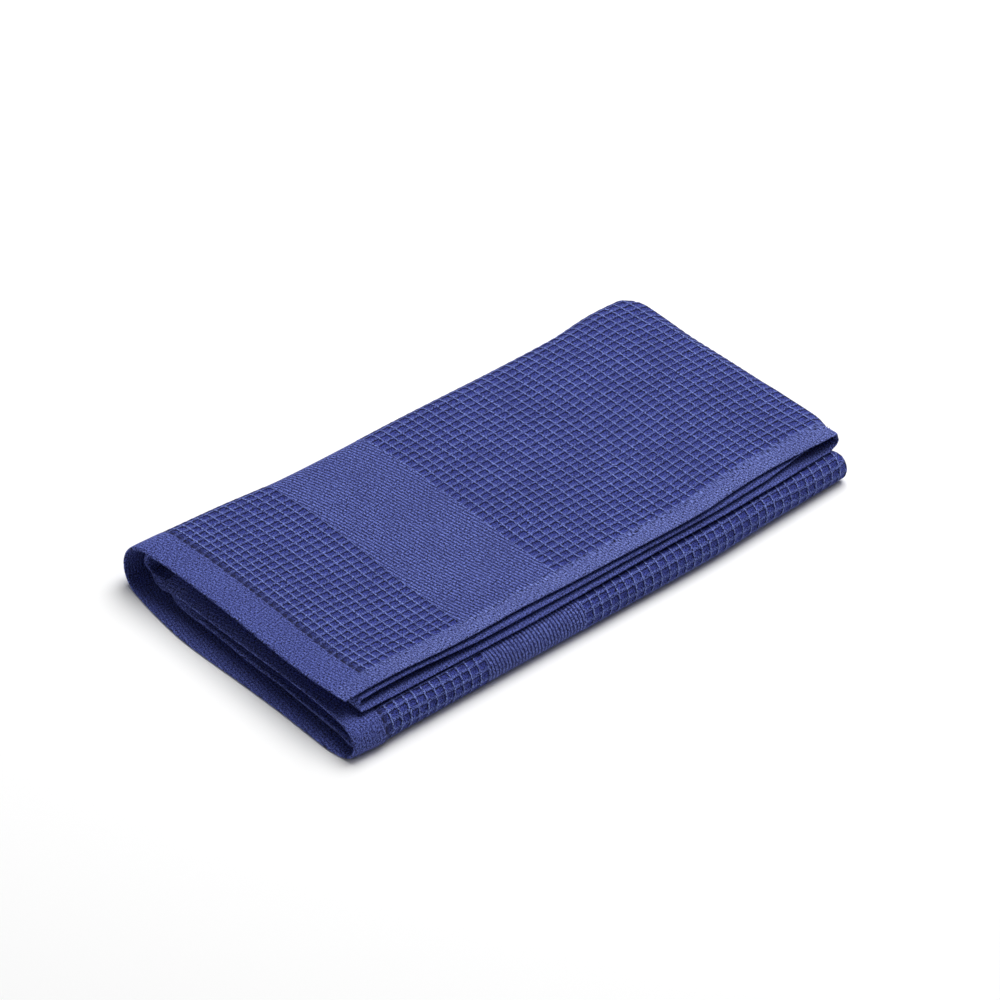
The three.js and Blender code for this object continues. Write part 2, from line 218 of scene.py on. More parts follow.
def foldAcrossWidth(across, x, depth, middleShare):
    half, pitch = cloth["halfWaffle"], cloth["pitch"]
    inward = half + depth * pitch
    hollow = loose["hollowDepth"] * smoothStep(loose["hollowFrom"], loose["hollowTo"], x)
    topZ = readTable(sectionAlong, "x", "top", x) - inward
    floorZ = inward
    highest = 5 * pitch + 2 * half    # three layers of the lower panel and three of the middle one
    middleZ = highest - inward
    backRadius, frontRadius = (topZ - floorZ) / 2, (middleZ - floorZ) / 2
    backY = (readTable(sectionAlong, "x", "back", x) - inward
             - hollow * smoothStep(0, 1, depth) - backRadius)
    frontY = readTable(sectionAlong, "x", "front", x) + inward + frontRadius
    middleOut = readTable(frontEdges, "x", "middleOut", x) * middleShare
    innerOut = readTable(frontEdges, "x", "innerOut", x) * (1 - middleShare) * depth / 2
    selvedgeY = readTable(frontEdges, "x", "selvedge", x) - middleOut - innerOut
    tuckedY = loose["innerSelvedge"] + loose["innerStagger"] * depth
    topEnd = backY - selvedgeY
    backEnd = topEnd + math.pi * backRadius
    floorEnd = backEnd + backY - frontY
    frontEnd = floorEnd + math.pi * frontRadius
    whole = frontEnd + tuckedY - frontY
    passed = across / cloth["width"] * whole
    backTurn = np.clip((passed - topEnd) / backRadius, 0, math.pi)
    frontTurn = np.clip((passed - floorEnd) / frontRadius, 0, math.pi)
    stages = [passed < topEnd, passed < backEnd, passed < floorEnd, passed < frontEnd]
    y = np.select(stages, [
        selvedgeY + passed,
        backY + backRadius * np.sin(backTurn),
        backY - (passed - backEnd),
        frontY - frontRadius * np.sin(frontTurn),
    ], frontY + passed - frontEnd)
    z = np.select(stages, [
        topZ,
        (topZ + floorZ) / 2 + backRadius * np.cos(backTurn),
        floorZ,
        (middleZ + floorZ) / 2 - frontRadius * np.cos(frontTurn),
    ], middleZ)
    # the front roll's foot stands out past its top
    low = np.clip(1 - z / highest, 0, 1) * smoothStep(loose["leanFrom"], loose["leanTo"], y)
    y = y - np.where(passed > backEnd, readTable(sectionAlong, "x", "lean", x) * low, 0)
    # the hem inside the front roll droops
    droop = (loose["droop"] * (1 - smoothStep(0, 1, depth))
             * smoothStep(loose["droopFrom"], loose["droopTo"], x)
             * smoothStep(loose["droopFrontY"], loose["droopBackY"], y))
    # the three free edges on top part from each other
    outerRise = readTable(frontEdges, "x", "outerRise", x)
    innerRise = readTable(frontEdges, "x", "innerRise", x)
    rise = outerRise + (innerRise - outerRise) * (1 - middleShare) * depth / 2
    atFront = 1 - smoothStep(loose["partFrom"], loose["partTo"], y)
    onTop = passed < topEnd
    return y, z - np.where(passed > frontEnd, droop, 0) + np.where(onTop, rise * atFront, 0)


def settle(point):
    # soft unevenness of the stack's height; the face on the floor stays flat
    x, y, z = point[..., 0], point[..., 1], point[..., 2]
    alongX = np.sin(2 * math.pi * x / loose["waveAlongX"] + loose["waveStartX"])
    alongY = np.cos(2 * math.pi * y / loose["waveAlongY"] + loose["waveStartY"])
    height = np.maximum(z * (1 + loose["waveSize"] * alongX * alongY), 0)
    return np.stack([x - cloth["middleX"], y - cloth["middleY"], height], -1)


def middleSurface(along, across):
    x, depth, middleShare = foldAlongLength(along, across)
    y, z = foldAcrossWidth(across, x, depth, middleShare)
    return np.stack([x, y, z], -1)


def clothPoint(along, across, offset):
    # a point of the folded cloth, offset to one side of its middle, in metres
    step = 0.4
    u0, u1 = np.clip(along - step, 0, None), np.clip(along + step, None, cloth["length"])
    v0, v1 = np.clip(across - step, 0, None), np.clip(across + step, None, cloth["width"])
    alongWay = middleSurface(u1, across) - middleSurface(u0, across)
    acrossWay = middleSurface(along, v1) - middleSurface(along, v0)
    normal = np.cross(alongWay, acrossWay)
    normal /= np.linalg.norm(normal, axis=-1, keepdims=True)
    return settle(middleSurface(along, across) + normal * offset[..., None]) * mm


# The weave: stretches along and across the flat cloth, with the cells in each
weave = {
    "along": [("hem", cloth["endHem"], 0), ("waffle", 26.4, 4), ("waffle", 63.2, 8),
              ("band", 87.6, 0), ("waffle", 131.2, 16), ("waffle", 129.75, 15),
              ("waffle", 707.65, 84), ("band", 87.6, 0), ("waffle", 89.6, 12),
              ("hem", cloth["endHem"], 0)],
    "across": [("hem", cloth["sideHem"], 0), ("strip", cloth["sideStrip"], 0), ("waffle", 687.0, 98),
               ("strip", cloth["sideStrip"], 0), ("hem", cloth["sideHem"], 0)],
    "pitDepth": 0.85,
    "ridgeHalf": {"along": 0.5, "across": 0.9},    # half the width of a ridge's top
    "wallEnd": {"along": 1.1, "across": 1.9},      # from a ridge's middle to the pit's floor
    "lowerRidge": 0.12,       # ridges along the length are this much lower
    "bandEdge": 0.4,          # half the width of the step to the flat band
    "skew": 4.5,              # the rows drift from the selvedge over the first third
    "skewLength": 460.0,
    "wanderFrom": 34.0,       # ridges run straight beside an end hem, and stray from here on
}

# How far the ridges stray: a long bent wave and a short slanting one
wander = {
    "along": {"size": 0.36, "wave": 27.0, "bend": 1.3, "bendWave": 61.0,
              "short": 0.5, "shortWave": 11.3, "slantWave": 37.0},
    "across": {"size": 0.27, "wave": 31.0, "bend": 1.0, "bendWave": 47.0,
               "short": 0.6, "shortWave": 13.7, "slantWave": 29.0},
}

# The first cells beside an end hem: the waffle drops straight from the hem without a ridge, the
# pits start shallow and the ridges between them lie low. These shares also set the painted shade in
# the first cells, where the hem's step shades them. Distances are from the hem's inner edge
firstRow = {
    "line": 0.15,
    "linePit": 0.6,           # share of the pits' depth on that line
    "wallPit": 0.72,
    "ridgePit": 0.25,
    "reach": 5.5,
    "near": 0.05,             # a point this close is on the line
    "darkFrom": -0.3,         # the wall at the hem gets the full painted shade of a wall turned from the light
    "darkTo": 1.5,
}

# The cloth is pressed flat at its inner turn, from the back roll on
pressedTurn = {
    "along": (905.0, 965.0),
    "across": (200.0, 225.0),    # it sets in over this stretch
    "share": 0.8,
}

# On the front roll the weave is pulled further along the cloth and gathered across it
rollWeave = {
    "along": [0, 27.5, 54, 117, 205, 336, 466, 500, 1378],
    "further": [0, 0, 5, 6.1, 8.6, 5.2, 1, 0, 0],
    "furtherEnd": 500.0,
    "acrossIn": (300.0, 470.0),      # it sets in over the first stretch and fades over the other
    "acrossOut": (545.0, 690.0),
    "middle": 504.2,          # the row that lies on the front of the roll, and its place
    "middlePlace": 505.0,
    "gathered": 0.16,
    "gatheredEnd": 480.0,
    "reach": 42.0,
    "endSlant": 4.5,          # near the hem the rows run off sideways
    "slantFade": (20.0, 115.0),
}

# The outer third's selvedge hems are paler, less so near the corners: partly the hems' own weave, partly
# painted light, as the selvedge hems of the lower thirds keep the darker colour as painted shade
paleSelvedgeShadedBelow = {
    "edge": (12.6, 13.6),
    "alongEnd": 470.0,
    "corner": (15.0, 70.0),
    "cornerShare": 0.4,
}

# Where the mesh follows each cell, on the flat cloth; elsewhere it is coarse
detail = {
    "along": [(0, 492), pressedTurn["along"]],
    "across": [(0, 548)],
    "rolls": {"along": [(445, 492), pressedTurn["along"]],
              "across": [(222, 304), (462, 548)]},
    "underneath": [(310, 455)],      # fewer lines in each cell
    "hemLines": (0, 0.35, 1.1, 2.1, 3.4, 7.0),
    "hemInside": 0.6,         # one more line before an end hem's inner edge
    "bandStep": 9.0,
    "bandLine": 0.45,         # from a band's edge to its first line
    "coarseCells": 3,
}


def within(place, stretches):
    return any(low <= place <= high for low, high in stretches)


def cellBorders(side):
    borders, start = [], 0.0
    for name, length, cells in weave[side]:
        if name == "waffle":
            borders.append(start + np.arange(cells + 1) * length / cells)
        start += length
    return np.unique(np.round(np.concatenate(borders), 6))


def waffleShare(side, place):
    # 1 where cells are woven, 0 on hems, strips and bands
    share, start = np.ones(len(place)), 0.0
    for name, length, _ in weave[side]:
        if name != "waffle":
            share = np.where((place >= start) & (place <= start + length), 0, share)
        start += length
    return share


def pitShare(side, place):
    # 1 on a pit's floor, 0 on ridges and on flat weave
    borders = cellBorders(side)
    nearest = np.abs(np.asarray(place)[:, None] - borders[None, :]).min(1)
    share = smoothStep(weave["ridgeHalf"][side], weave["wallEnd"][side], nearest)
    return share * waffleShare(side, place)


def farShare(side, place):
    # 1 in the half of a cell that lies further along, 0 in the nearer half; the wall of the far half turns
    # from the light and gets the full painted shade
    borders = cellBorders(side)
    after = np.clip(np.searchsorted(borders, place), 1, len(borders) - 1)
    return (place > (borders[after - 1] + borders[after]) / 2).astype(float)


def bandShare(along):
    # 1 on the flat bands
    edge = weave["bandEdge"]
    share, start = np.zeros(len(along)), 0.0
    for name, length, _ in weave["along"]:
        end = start + length
        if name == "band":
            inside = smoothStep(start - edge, start + edge, along)
            share = np.maximum(share, inside * (1 - smoothStep(end - edge, end + edge, along)))
        start = end
    return share


def hemLines(side):
    # mesh lines of a hem, as distances from the cloth's edge
    seam = cloth["endSeam"] if side == "along" else cloth["sideSeam"]
    places = list(detail["hemLines"])
    places += [seam - cloth["seamHalfWidth"], seam, seam + cloth["seamHalfWidth"]]
    if side == "along":
        inner = cloth["endHem"]
        places += [inner - detail["hemInside"], inner - firstRow["line"], inner + firstRow["line"]]
    return places


def bandLines(start, end):
    # the coarse faces use every third line
    count = round((end - start) / detail["bandStep"])
    step = (end - start) / count
    lines = [(start + (i + 0.5) * step, i % 3 == 1) for i in range(count)]
    return lines + [(start + detail["bandLine"], True), (end - detail["bandLine"], True)]


def cellLines(side, start, length, cells):
    # both edges of a pit's walls; the coarse faces use the first line of every second cell
    lines = []
    pitch = length / cells
    ridge, wall = weave["ridgeHalf"][side], weave["wallEnd"][side]
    for cell in range(cells):
        left = start + cell * pitch
        middle = left + pitch / 2
        if within(middle, detail[side]):
            rolled = within(middle, detail["rolls"][side])
            offsets = [ridge, wall, pitch - wall, pitch - ridge]
            if side == "across" and within(middle, detail["underneath"]):
                offsets = [0, pitch / 2]
            places = [(left + offset, rolled) for offset in offsets]
            places[0] = (places[0][0], rolled or cell % 2 == 0)
            besideHem = side == "along" and left == cloth["endHem"]
            lines += places[1:] if besideHem else places
        elif cell % detail["coarseCells"] == 0:
            lines.append((left, True))
    return lines


def gridLines(side):
    # each line's place, and whether the coarse faces use it too
    lines, start = [], 0.0
    for name, length, cells in weave[side]:
        end = start + length
        if name == "hem" and start == 0:
            lines += [(place, True) for place in hemLines(side)]
        elif name == "hem":
            lines += [(end - place, True) for place in hemLines(side)]
        elif name == "band":
            lines += bandLines(start, end)
        elif name == "waffle":
            lines += cellLines(side, start, length, cells)
        start = end
    return sorted(set(lines))


def wanderOf(side, place, other):
    waves = wander[side]
    bent = np.sin(place / waves["wave"] + waves["bend"] * np.sin(other / waves["bendWave"]))
    slanting = np.sin(place / waves["shortWave"] + other / waves["slantWave"])
    return waves["size"] * (bent + waves["short"] * slanting)


def strayOfWeave(along, across):
    # place on the flat cloth of a point of the weave: the rows drift and the ridges stray
    endHem, sideHem = cloth["endHem"], cloth["sideHem"]
    inner = sideHem + cloth["sideStrip"]
    inField = smoothStep(sideHem, inner, across) * smoothStep(sideHem, inner, cloth["width"] - across)
    awayFromEnd = smoothStep(endHem, weave["wanderFrom"], along)
    awayFromEnd = awayFromEnd * smoothStep(endHem, weave["wanderFrom"], cloth["length"] - along)
    fade = np.clip((cloth["width"] - inner - across) / (cloth["width"] - 2 * inner), 0, 1)
    drift = weave["skew"] * np.clip(along / weave["skewLength"], 0, 1) * fade

    onRoll = smoothStep(*rollWeave["acrossIn"], across)
    onRoll = onRoll * (1 - smoothStep(*rollWeave["acrossOut"], across)) * (along < rollWeave["furtherEnd"])
    further = readTable(rollWeave, "along", "further", along) * onRoll
    fromRoll = across - rollWeave["middle"]
    gather = np.exp(-(fromRoll / rollWeave["reach"]) ** 2) * (along < rollWeave["gatheredEnd"])
    slant = rollWeave["endSlant"] * (1 - smoothStep(*rollWeave["slantFade"], along))
    aside = rollWeave["middlePlace"] - rollWeave["middle"] - rollWeave["gathered"] * fromRoll
    return (along + wanderOf("along", across, along) * awayFromEnd + further,
            across + (drift + wanderOf("across", along, across)) * inField + (aside + slant) * gather)


def edgeRounding(along, across):
    # 1 inside, falling to almost 0 at the cloth's rim
    nearest = np.minimum.reduce([along, cloth["length"] - along, across, cloth["width"] - across])
    share = np.clip((nearest + cloth["edgeBlunt"]) / cloth["edgeRound"], 0, 1)
    return np.sqrt(1 - (1 - share) ** 2)


def endHemShare(fromEnd):
    # 1 in an end hem, 0 in the single cloth
    line = firstRow["line"]
    return 1 - smoothStep(cloth["endHem"] - line, cloth["endHem"] + line, fromEnd)


def sideHemShare(fromSide):
    # 1 in a selvedge hem, 0 in the single cloth
    return 1 - smoothStep(*cloth["sideHemSlope"], fromSide)


def seamShare(fromEnd, fromSide):
    # 1 on the stitch line of a selvedge hem, less on that of an end hem
    endSeam = 1 - smoothStep(0, cloth["seamHalfWidth"], np.abs(fromEnd - cloth["endSeam"]))
    sideSeam = 1 - smoothStep(0, cloth["seamHalfWidth"], np.abs(fromSide - cloth["sideSeam"]))
    return np.maximum(cloth["endSeamShare"] * endSeam, sideSeam)


def stripFaces(first, second):
    # faces between two rows of point numbers, -1 where a row leaves a line out
    shared = np.flatnonzero((first >= 0) & (second >= 0))
    faces = []
    for low, high in zip(shared[:-1], shared[1:]):
        ahead = [int(n) for n in first[low:high + 1] if n >= 0]
        back = [int(n) for n in second[low:high + 1][::-1] if n >= 0]
        faces.append(ahead + back)
    return faces


def clothGrid(alongLines, acrossLines):
    # row, column and side of each point, and the faces of the closed sheet
    alongCoarse = np.array([coarse for _, coarse in alongLines])
    acrossCoarse = np.array([coarse for _, coarse in acrossLines])
    everyLine = np.ones(len(acrossLines), bool)
    fineRow = [within(place, detail["along"]) for place, _ in alongLines]

    numbers = {}
    rows, columns, sides = [], [], []
    count = 0
    for side in ("outer", "inner"):
        grid = -np.ones((len(alongLines), len(acrossLines)), int)
        for i in range(len(alongLines)):
            if side == "inner" and not alongCoarse[i]:
                continue
            use = np.flatnonzero(everyLine if side == "outer" and fineRow[i] else acrossCoarse)
            grid[i, use] = count + np.arange(len(use))
            count += len(use)
            rows += [i] * len(use)
            columns += list(use)
            sides += [side == "outer"] * len(use)
        numbers[side] = grid

    faces = []
    outer, inner = numbers["outer"], numbers["inner"]
    for i in range(len(alongLines) - 1):
        faces += stripFaces(outer[i + 1], outer[i])
    kept = np.flatnonzero(alongCoarse)
    for i, j in zip(kept[:-1], kept[1:]):
        faces += stripFaces(inner[i], inner[j])
    faces += stripFaces(outer[0], inner[0])
    faces += stripFaces(inner[-1], outer[-1])
    faces += stripFaces(inner[:, 0], outer[:, 0])
    faces += stripFaces(outer[:, -1], inner[:, -1])
    return np.array(rows), np.array(columns), np.array(sides), faces


def buildCloth():
    alongLines, acrossLines = gridLines("along"), gridLines("across")
    rows, columns, sides, faces = clothGrid(alongLines, acrossLines)
    alongPlace = np.array([place for place, _ in alongLines])
    acrossPlace = np.array([place for place, _ in acrossLines])
    weaveU, weaveV = alongPlace[rows], acrossPlace[columns]
    fromEnd = np.minimum(weaveU, cloth["length"] - weaveU)
    fromSide = np.minimum(weaveV, cloth["width"] - weaveV)
    beyondHem = fromEnd - cloth["endHem"]
    pitU = pitShare("along", alongPlace)[rows]
    pitV = pitShare("across", acrossPlace)[columns]
    near = firstRow["near"]
    pitU = np.where(np.abs(beyondHem - firstRow["line"]) < near, firstRow["linePit"], pitU)
    pitU = np.where(np.abs(beyondHem - weave["wallEnd"]["along"]) < near, firstRow["wallPit"], pitU)
    inFirstRow = (beyondHem > firstRow["line"] - near) * (beyondHem < firstRow["reach"])
    pitV = np.where(inFirstRow, np.maximum(pitV, firstRow["ridgePit"]), pitV)

    pressed = (weaveU > pressedTurn["along"][0]) * (weaveU < pressedTurn["along"][1])
    pressed = pressed * smoothStep(*pressedTurn["across"], weaveV)
    field = waffleShare("along", weaveU) * waffleShare("across", weaveV)
    field = field * (1 - pressedTurn["share"] * pressed)
    lower = weave["lowerRidge"]
    pit = field * pitU * (lower + (1 - lower) * pitV)

    atSide = sideHemShare(fromSide)
    inHem = np.maximum(endHemShare(fromEnd), atSide)
    single = cloth["halfBand"] + (cloth["halfWaffle"] - cloth["halfBand"]) * field
    hemHalf = cloth["halfHem"] + (cloth["halfSideHem"] - cloth["halfHem"]) * atSide
    offset = single * (1 - inHem) + hemHalf * inHem
    offset = offset - cloth["seamDepth"] * seamShare(fromEnd, fromSide)
    offset = offset - np.where(sides, weave["pitDepth"] * pit, 0)
    offset = offset * edgeRounding(weaveU, weaveV) * np.where(sides, 1, -1)
    placeU, placeV = strayOfWeave(weaveU, weaveV)
    points = clothPoint(placeU, placeV, offset)

    mesh = bpy.data.meshes.new("waffleTowel")
    mesh.from_pydata(points.tolist(), [], faces)
    mesh.update()
    uvMap = mesh.uv_layers.new(name="flatCut")
    corners = np.zeros(len(mesh.loops), int)
    mesh.loops.foreach_get("vertex_index", corners)
    uvMap.data.foreach_set("uv", (np.stack([weaveU, weaveV], -1)[corners] * mm).ravel())
    band = bandShare(weaveU) * (1 - inHem)
    # paler selvedge only on the outer third: partly its own weave, partly painted light on the top layer
    # over the lower layers in painted shade
    sideHem = (1 - smoothStep(*paleSelvedgeShadedBelow["edge"], fromSide)) * (weaveU < paleSelvedgeShadedBelow["alongEnd"])
    least = paleSelvedgeShadedBelow["cornerShare"]
    sideHem = sideHem * (least + (1 - least) * smoothStep(*paleSelvedgeShadedBelow["corner"], weaveU))
    # which wall of each cell gets the full painted shade, the one turned from the light; the wall at an
    # end hem gets it throughout
    farAlong, farAcross = farShare("along", weaveU), farShare("across", weaveV)
    atHemWall = (beyondHem > firstRow["darkFrom"]) * (beyondHem < firstRow["darkTo"])
    farAlong = np.where(atHemWall, 1, farAlong)
    for name, values in (("pitAlong", pitU * field), ("pitAcross", pitV * field),
                         ("farAlong", farAlong), ("farAcross", farAcross),
                         ("band", band), ("hem", np.maximum(inHem, pressed)), ("sideHem", sideHem)):
        mesh.attributes.new(name, "FLOAT", "POINT").data.foreach_set("value", values)
    towel = bpy.data.objects.new("waffleTowel", mesh)
    bpy.context.scene.collection.objects.link(towel)
    mesh.polygons.foreach_set("use_smooth", np.ones(len(mesh.polygons), bool))
    print("cloth folded:", len(mesh.vertices), "points,", sum(len(f) - 2 for f in faces), "triangles")
    return towel


# Sewing thread of the hems, one raised stitch after another
stitch = {
    "length": 2.2,
    "pitch": 3.1,
    "radius": 0.2,
    "rise": 0.02,
    "tilt": 0.1,
    "first": 3.0,           # from the cloth's edge to the first stitch of a row
    "edgeGap": 0.5,
    "seed": 7,
}


def oneStitch():
    bpy.ops.object.select_all(action="DESELECT")
    bpy.ops.mesh.primitive_uv_sphere_add(segments=6, ring_count=4, radius=1, rotation=(0, math.pi / 2, 0))
    ball = bpy.context.object
    bpy.ops.object.transform_apply(location=False, rotation=True, scale=True)
    points = np.array([v.co[:] for v in ball.data.vertices])
    points = points * [stitch["length"] / 2, stitch["radius"], stitch["radius"]]
    # the faces come in another order each time, so they are put in a fixed one
    faces = []
    for polygon in ball.data.polygons:
        face = list(polygon.vertices)
        first = face.index(min(face))
        faces.append(face[first:] + face[:first])
    bpy.data.objects.remove(ball)
    return points, sorted(faces)


def stitchPlaces():
    # (along, across, direction) on the flat cloth, one row for each stitch
    places = []
    first = stitch["first"]
    for across in (cloth["sideSeam"], cloth["width"] - cloth["sideSeam"]):
        for along in np.arange(first, cloth["length"] - first, stitch["pitch"]):
            places.append((along, across, 0))
    for along in (cloth["endSeam"], cloth["length"] - cloth["endSeam"]):
        for across in np.arange(first, cloth["width"] - first, stitch["pitch"]):
            places.append((along, across, 1))
    return np.array(places)


def buildStitches():
    shape, shapeFaces = oneStitch()
    places = stitchPlaces()
    chance = np.random.default_rng(stitch["seed"])
    tilt = chance.normal(0, stitch["tilt"], len(places))
    turn = places[:, 2] * math.pi / 2 + tilt
    du = shape[None, :, 0] * np.cos(turn)[:, None] - shape[None, :, 1] * np.sin(turn)[:, None]
    dv = shape[None, :, 0] * np.sin(turn)[:, None] + shape[None, :, 1] * np.cos(turn)[:, None]
    gap = stitch["edgeGap"]
    u = np.clip((places[:, 0, None] + du).ravel(), gap, cloth["length"] - gap)
    v = np.clip((places[:, 1, None] + dv).ravel(), gap, cloth["width"] - gap)
    half = np.where(places[:, 2] == 1, cloth["halfHem"], cloth["halfSideHem"])
    lift = np.repeat(half, len(shape)) - cloth["seamDepth"] + stitch["rise"]
    lift = lift + np.tile(shape[:, 2], len(places))
    points = clothPoint(u, v, lift)
    faces = [[n + k * len(shape) for n in face] for k in range(len(places)) for face in shapeFaces]
    mesh = bpy.data.meshes.new("hemStitches")
    mesh.from_pydata(points.tolist(), [], faces)
    mesh.update()
    mesh.polygons.foreach_set("use_smooth", np.ones(len(mesh.polygons), bool))
    stitches = bpy.data.objects.new("hemStitches", mesh)
    bpy.context.scene.collection.objects.link(stitches)
    print("hems sewn:", len(places), "stitches,", sum(len(f) - 2 for f in faces), "triangles")
    return stitches


def addNode(tree, kind, settings=None, inputs=None):
    # inputs are values, or (node, output name) for a link
    node = tree.nodes.new(kind)
    for name, value in (settings or {}).items():
        setattr(node, name, value)
    for name, value in (inputs or {}).items():
        if isinstance(value, tuple) and hasattr(value[0], "outputs"):
            tree.links.new(value[0].outputs[value[1]], node.inputs[name])
        else:
            node.inputs[name].default_value = value
    return node


def newMaterial(name):
    material = bpy.data.materials.new(name)
    material.use_nodes = True
    material.node_tree.nodes.clear()
    return material, material.node_tree


def spread(tree, value, grey, tones):
    # tones over one stretch of a grey value
    return addNode(tree, "ShaderNodeMapRange", None, {
        "Value": value, "From Min": grey[0], "From Max": grey[1], "To Min": tones[0], "To Max": tones[1]})


def bandScale(period):
    # Wave Texture scale whose stripes are that many millimetres apart
    return math.pi / 10 / (period * mm)


# Piece-dyed cotton, matt and slightly fuzzy, with painted light and shade in its waffle: ridges painted
# lighter, pits darker, and the pits' walls in painted shade, darkest where they turn from the light
cottonLook = {
    # ridge: painted light on the ridge tops; pit: painted shade in the pits
    "ridge": "#5561a6",
    "pit": "#2b337e",
    # wall: the painted shade on the pits' walls
    "wall": "#05083a",
    "wallShadeSharpness": 5.0,
    "litWallShade": 0.2,          # the wall that faces the light gets this much of the painted shade
    "pitShadeBetween": 0.55,       # how much of the pits' painted shade a row keeps between two pits
    "wallShadeBetween": 0.4,
    "flat": "#3d468b",
    # selvedge: paler hem colour, partly its own weave and partly painted light on the top layer
    "selvedge": "#4b5496",
    "roughness": 0.95,
    "shine": 0.4,
    "sheen": 0.1,
    "sheenSpread": 0.45,
    "sheenTint": "#8f9ad8",
    "yarnSize": 0.72,         # uneven yarns show as light and dark specks
    "yarnStretch": 0.5,       # specks are longer across the cloth
    "yarnGrey": (0.38, 0.62),     # this stretch of the noise is spread over the tones below
    "yarnTones": (0.0, 2.1),
    "yarnRed": 1.2,           # dark specks are a deeper blue, light ones paler
    "yarnBlue": 0.85,
    "yarnDepth": 0.25,
    "twillPeriod": 2.9,       # slanting lines of the band
    "twillAngle": 10.7,
    "twillUneven": 0.6,
    "twillPeak": 0.55,        # from here on a line has its full tone
    "twillTones": (0.12, 1.45),
    "twillDepth": 0.2,
    "hemTwill": 0.35,         # how much of them the hems show
    "patchSize": 38.0,
    "patchGrey": (0.3, 0.7),
    "patchTones": (0.94, 1.06),
}


